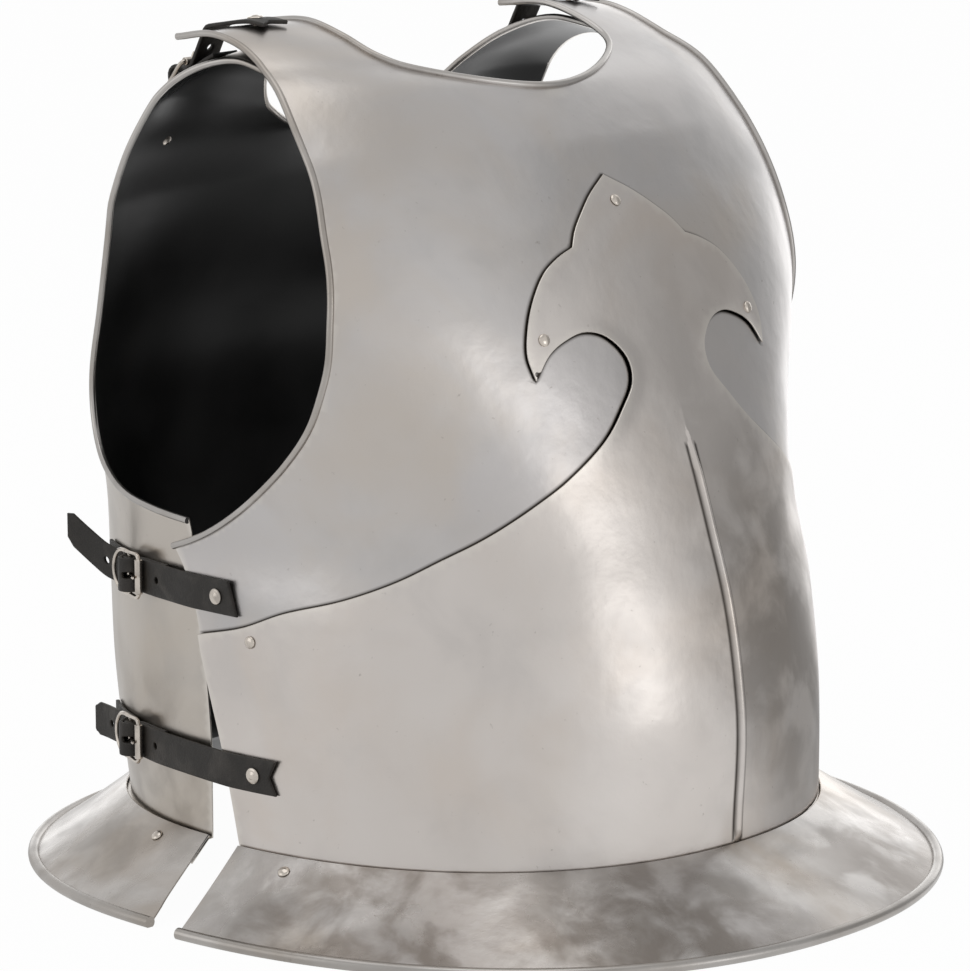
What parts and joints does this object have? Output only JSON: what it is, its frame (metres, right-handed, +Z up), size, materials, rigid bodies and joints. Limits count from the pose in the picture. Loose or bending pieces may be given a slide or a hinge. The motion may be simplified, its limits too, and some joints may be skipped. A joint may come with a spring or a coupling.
{
  "type": "steel cuirass",
  "caption": "Breastplate with a lobed plackart, backplate and flared skirts in steel, joined at the shoulders and sides by leather straps with roller buckles.",
  "frame": {"origin": "on the ground under the middle of the part, level with the skirts' rolled rims", "axes": "+Z up, -Y to the front, -X to the wearer's right"},
  "size_m": [0.524, 0.5368, 0.5043],
  "materials": {
    "plate_steel": "worn, unevenly stained steel",
    "strap_leather": "dark grained leather, matt",
    "bright_nickel": "bright nickelled steel"
  },
  "bodies": {
    "front_half": {"breastplate": "plate_steel", "plackart": "plate_steel", "front_skirt": "plate_steel", "plackart_rivet_top": "bright_nickel", "plackart_rivet_right_lobe": "bright_nickel", "plackart_rivet_left_lobe": "bright_nickel", "plackart_rivet_right_end": "bright_nickel", "plackart_rivet_left_end": "bright_nickel", "front_skirt_rivet_right": "bright_nickel", "front_skirt_rivet_left": "bright_nickel", "right_upper_side_billet": "strap_leather", "right_upper_side_billet_rivet": "bright_nickel", "right_lower_side_billet": "strap_leather", "right_lower_side_billet_rivet": "bright_nickel", "right_shoulder_billet": "strap_leather", "right_shoulder_billet_rivet": "bright_nickel", "left_upper_side_billet": "strap_leather", "left_upper_side_billet_rivet": "bright_nickel", "left_lower_side_billet": "strap_leather", "left_lower_side_billet_rivet": "bright_nickel", "left_shoulder_billet": "strap_leather", "left_shoulder_billet_rivet": "bright_nickel"},
    "back_half": {"backplate": "plate_steel", "rear_skirt": "plate_steel", "rear_skirt_rivet_right": "bright_nickel", "rear_skirt_rivet_left": "bright_nickel", "right_upper_side_chape": "strap_leather", "right_upper_side_chape_rivet": "bright_nickel", "right_lower_side_chape": "strap_leather", "right_lower_side_chape_rivet": "bright_nickel", "right_shoulder_chape": "strap_leather", "right_shoulder_chape_rivet": "bright_nickel", "left_upper_side_chape": "strap_leather", "left_upper_side_chape_rivet": "bright_nickel", "left_lower_side_chape": "strap_leather", "left_lower_side_chape_rivet": "bright_nickel", "left_shoulder_chape": "strap_leather", "left_shoulder_chape_rivet": "bright_nickel"},
    "right_upper_side_frame": {"right_upper_side_buckle_frame": "bright_nickel"},
    "right_upper_side_pin": {"right_upper_side_prong": "bright_nickel"},
    "right_upper_side_wheel": {"right_upper_side_roller": "bright_nickel"},
    "right_lower_side_frame": {"right_lower_side_buckle_frame": "bright_nickel"},
    "right_lower_side_pin": {"right_lower_side_prong": "bright_nickel"},
    "right_lower_side_wheel": {"right_lower_side_roller": "bright_nickel"},
    "right_shoulder_frame": {"right_shoulder_buckle_frame": "bright_nickel"},
    "right_shoulder_pin": {"right_shoulder_prong": "bright_nickel"},
    "right_shoulder_wheel": {"right_shoulder_roller": "bright_nickel"},
    "left_upper_side_frame": {"left_upper_side_buckle_frame": "bright_nickel"},
    "left_upper_side_pin": {"left_upper_side_prong": "bright_nickel"},
    "left_upper_side_wheel": {"left_upper_side_roller": "bright_nickel"},
    "left_lower_side_frame": {"left_lower_side_buckle_frame": "bright_nickel"},
    "left_lower_side_pin": {"left_lower_side_prong": "bright_nickel"},
    "left_lower_side_wheel": {"left_lower_side_roller": "bright_nickel"},
    "left_shoulder_frame": {"left_shoulder_buckle_frame": "bright_nickel"},
    "left_shoulder_pin": {"left_shoulder_prong": "bright_nickel"},
    "left_shoulder_wheel": {"left_shoulder_roller": "bright_nickel"}
  },
  "joints": [
    {"name": "strap_let_out", "type": "slide", "parent": "front_half", "child": "back_half", "axis": [0, 1, 0], "range_m": [0, 0.03], "deforming": ["right_upper_side_billet", "right_lower_side_billet", "right_shoulder_billet", "left_upper_side_billet", "left_lower_side_billet", "left_shoulder_billet"]},
    {"name": "right_upper_side_frame_rock", "type": "hinge", "parent": "back_half", "child": "right_upper_side_frame", "pos_m": [-0.18861, 0.11565, 0.181], "axis": [0, 0, -1], "range_deg": [-3, 3]},
    {"name": "right_upper_side_prong_lift", "type": "hinge", "parent": "right_upper_side_frame", "child": "right_upper_side_pin", "pos_m": [-0.18861, 0.11565, 0.181], "axis": [0, 0, -1], "range_deg": [0, 12]},
    {"name": "right_upper_side_roller_turn", "type": "hinge", "parent": "right_upper_side_frame", "child": "right_upper_side_wheel", "pos_m": [-0.19216, 0.10419, 0.181], "axis": [0, 0, -1], "continuous": true},
    {"name": "right_lower_side_frame_rock", "type": "hinge", "parent": "back_half", "child": "right_lower_side_frame", "pos_m": [-0.18984, 0.11567, 0.083], "axis": [0, 0, -1], "range_deg": [-3, 3]},
    {"name": "right_lower_side_prong_lift", "type": "hinge", "parent": "right_lower_side_frame", "child": "right_lower_side_pin", "pos_m": [-0.18984, 0.11567, 0.083], "axis": [0, 0, -1], "range_deg": [0, 12]},
    {"name": "right_lower_side_roller_turn", "type": "hinge", "parent": "right_lower_side_frame", "child": "right_lower_side_wheel", "pos_m": [-0.19394, 0.10439, 0.083], "axis": [0, 0, -1], "continuous": true},
    {"name": "right_shoulder_frame_rock", "type": "hinge", "parent": "back_half", "child": "right_shoulder_frame", "pos_m": [-0.13247, 0.12131, 0.46685], "axis": [-0.9986, -0.0395, -0.034], "range_deg": [-3, 3]},
    {"name": "right_shoulder_prong_lift", "type": "hinge", "parent": "right_shoulder_frame", "child": "right_shoulder_pin", "pos_m": [-0.13247, 0.12131, 0.46685], "axis": [-0.9986, -0.0395, -0.034], "range_deg": [0, 12]},
    {"name": "right_shoulder_roller_turn", "type": "hinge", "parent": "right_shoulder_frame", "child": "right_shoulder_wheel", "pos_m": [-0.13247, 0.11348, 0.47595], "axis": [-0.9986, -0.0395, -0.034], "continuous": true},
    {"name": "left_upper_side_frame_rock", "type": "hinge", "parent": "back_half", "child": "left_upper_side_frame", "pos_m": [0.18861, 0.11565, 0.181], "axis": [0, 0, 1], "range_deg": [-3, 3]},
    {"name": "left_upper_side_prong_lift", "type": "hinge", "parent": "left_upper_side_frame", "child": "left_upper_side_pin", "pos_m": [0.18861, 0.11565, 0.181], "axis": [0, 0, 1], "range_deg": [0, 12]},
    {"name": "left_upper_side_roller_turn", "type": "hinge", "parent": "left_upper_side_frame", "child": "left_upper_side_wheel", "pos_m": [0.19216, 0.10419, 0.181], "axis": [0, 0, 1], "continuous": true},
    {"name": "left_lower_side_frame_rock", "type": "hinge", "parent": "back_half", "child": "left_lower_side_frame", "pos_m": [0.18984, 0.11567, 0.083], "axis": [0, 0, 1], "range_deg": [-3, 3]},
    {"name": "left_lower_side_prong_lift", "type": "hinge", "parent": "left_lower_side_frame", "child": "left_lower_side_pin", "pos_m": [0.18984, 0.11567, 0.083], "axis": [0, 0, 1], "range_deg": [0, 12]},
    {"name": "left_lower_side_roller_turn", "type": "hinge", "parent": "left_lower_side_frame", "child": "left_lower_side_wheel", "pos_m": [0.19394, 0.10439, 0.083], "axis": [0, 0, 1], "continuous": true},
    {"name": "left_shoulder_frame_rock", "type": "hinge", "parent": "back_half", "child": "left_shoulder_frame", "pos_m": [0.13247, 0.12131, 0.46685], "axis": [-0.9986, 0.0395, 0.034], "range_deg": [-3, 3]},
    {"name": "left_shoulder_prong_lift", "type": "hinge", "parent": "left_shoulder_frame", "child": "left_shoulder_pin", "pos_m": [0.13247, 0.12131, 0.46685], "axis": [-0.9986, 0.0395, 0.034], "range_deg": [0, 12]},
    {"name": "left_shoulder_roller_turn", "type": "hinge", "parent": "left_shoulder_frame", "child": "left_shoulder_wheel", "pos_m": [0.13247, 0.11348, 0.47595], "axis": [-0.9986, 0.0395, 0.034], "continuous": true}
  ]
}
